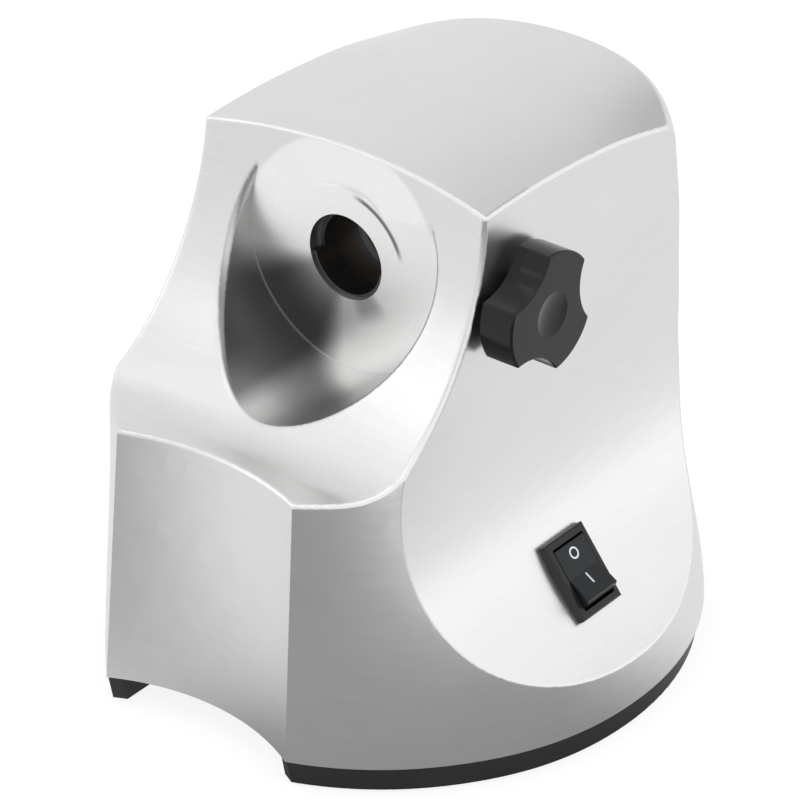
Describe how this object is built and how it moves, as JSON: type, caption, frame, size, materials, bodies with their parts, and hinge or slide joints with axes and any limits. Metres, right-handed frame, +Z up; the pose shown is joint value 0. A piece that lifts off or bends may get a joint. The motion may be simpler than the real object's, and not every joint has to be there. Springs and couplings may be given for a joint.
{
  "type": "meat grinder motor base",
  "caption": "Motor base of an electric meat grinder: flared brushed metal housing, scooped front with the drive outlet, head clamp knob and rocker switch.",
  "frame": {"origin": "on the surface it stands on, under the middle of its box", "axes": "the outlet faces -Y, the clamp knob and the switch are on the +X side, +Z is up"},
  "size_m": [0.2378, 0.2295, 0.2055],
  "materials": {
    "housing_metal": "satin",
    "tray_plastic": "fine matt",
    "foot_rubber": "matt",
    "steel": "machined",
    "cream_plastic": "moulded",
    "switch_plastic": "satin",
    "rocker_plastic": "satin",
    "brass": "plain",
    "sleeve_metal": "blackened",
    "die_cast": "die cast",
    "bronze": "sintered",
    "gear_nylon": "moulded",
    "gear_steel": "sintered",
    "laminations": "stamped",
    "copper": "enamelled",
    "carbon": "matt",
    "fan_plastic": "moulded",
    "knob_plastic": "gloss"
  },
  "bodies": {
    "base": {"base_screws": "steel", "base_tray": "tray_plastic", "brush_caps": "cream_plastic", "brush_holders": "brass", "brushes": "carbon", "case_screws": "steel", "cord_gland": "tray_plastic", "feet": "foot_rubber", "field_coils": "copper", "floor_plate": "tray_plastic", "front_bracket": "die_cast", "gear_case": "die_cast", "gear_cover": "die_cast", "gear_pins": "steel", "housing": "housing_metal", "knob_collar": "tray_plastic", "motor_bearings": "bronze", "motor_mounts": "foot_rubber", "motor_screws": "steel", "outlet_sleeve": "sleeve_metal", "output_bushes": "bronze", "screw_bush": "brass", "stator_core": "laminations", "switch_body": "switch_plastic", "switch_terminals": "brass", "terminal_block": "cream_plastic"},
    "clamp": {"clamp_pad": "brass"},
    "knob": {"locking_knob": "knob_plastic", "knob_screw": "steel"},
    "rocker": {"rocker": "rocker_plastic"},
    "armature": {"armature_shaft": "steel", "armature_core": "laminations", "armature_windings": "copper", "commutator": "copper", "cooling_fan": "fan_plastic", "motor_pinion": "steel"},
    "cluster_one": {"gear_cluster_one": "gear_nylon"},
    "cluster_two": {"gear_cluster_two": "gear_steel"},
    "output": {"output_gear": "gear_steel", "output_spindle": "steel"}
  },
  "joints": [
    {"name": "clamp_slide", "type": "slide", "parent": "base", "child": "clamp", "axis": [1, 0, 0], "range_m": [-0.00152, 0.00227]},
    {"name": "knob_turn", "type": "hinge", "parent": "clamp", "child": "knob", "pos_m": [0.076, -0.0117, 0.1616], "axis": [1, 0, 0], "range_deg": [-360, 540]},
    {"name": "rocker_press", "type": "hinge", "parent": "base", "child": "rocker", "pos_m": [0.09078, -0.0074, 0.0551], "axis": [0, 1, 0], "range_deg": [0, 22]},
    {"name": "armature_spin", "type": "hinge", "parent": "base", "child": "armature", "pos_m": [0, -0.03, 0.066], "axis": [0, 1, 0], "continuous": true},
    {"name": "cluster_one_spin", "type": "hinge", "parent": "base", "child": "cluster_one", "pos_m": [-0.01395, 0.02, 0.09591], "axis": [0, 1, 0], "continuous": true},
    {"name": "cluster_two_spin", "type": "hinge", "parent": "base", "child": "cluster_two", "pos_m": [0.0072, 0.03, 0.12301], "axis": [0, 1, 0], "continuous": true},
    {"name": "output_spin", "type": "hinge", "parent": "base", "child": "output", "pos_m": [0, 0.04, 0.1621], "axis": [0, 1, 0], "continuous": true}
  ],
  "couplings": [
    {"joint": "clamp_slide", "follows": "knob_turn", "m_per_rad": 0.00023873},
    {"joint": "cluster_one_spin", "follows": "armature_spin", "ratio": -0.2},
    {"joint": "cluster_two_spin", "follows": "armature_spin", "ratio": 0.05},
    {"joint": "output_spin", "follows": "armature_spin", "ratio": -0.013095}
  ]
}
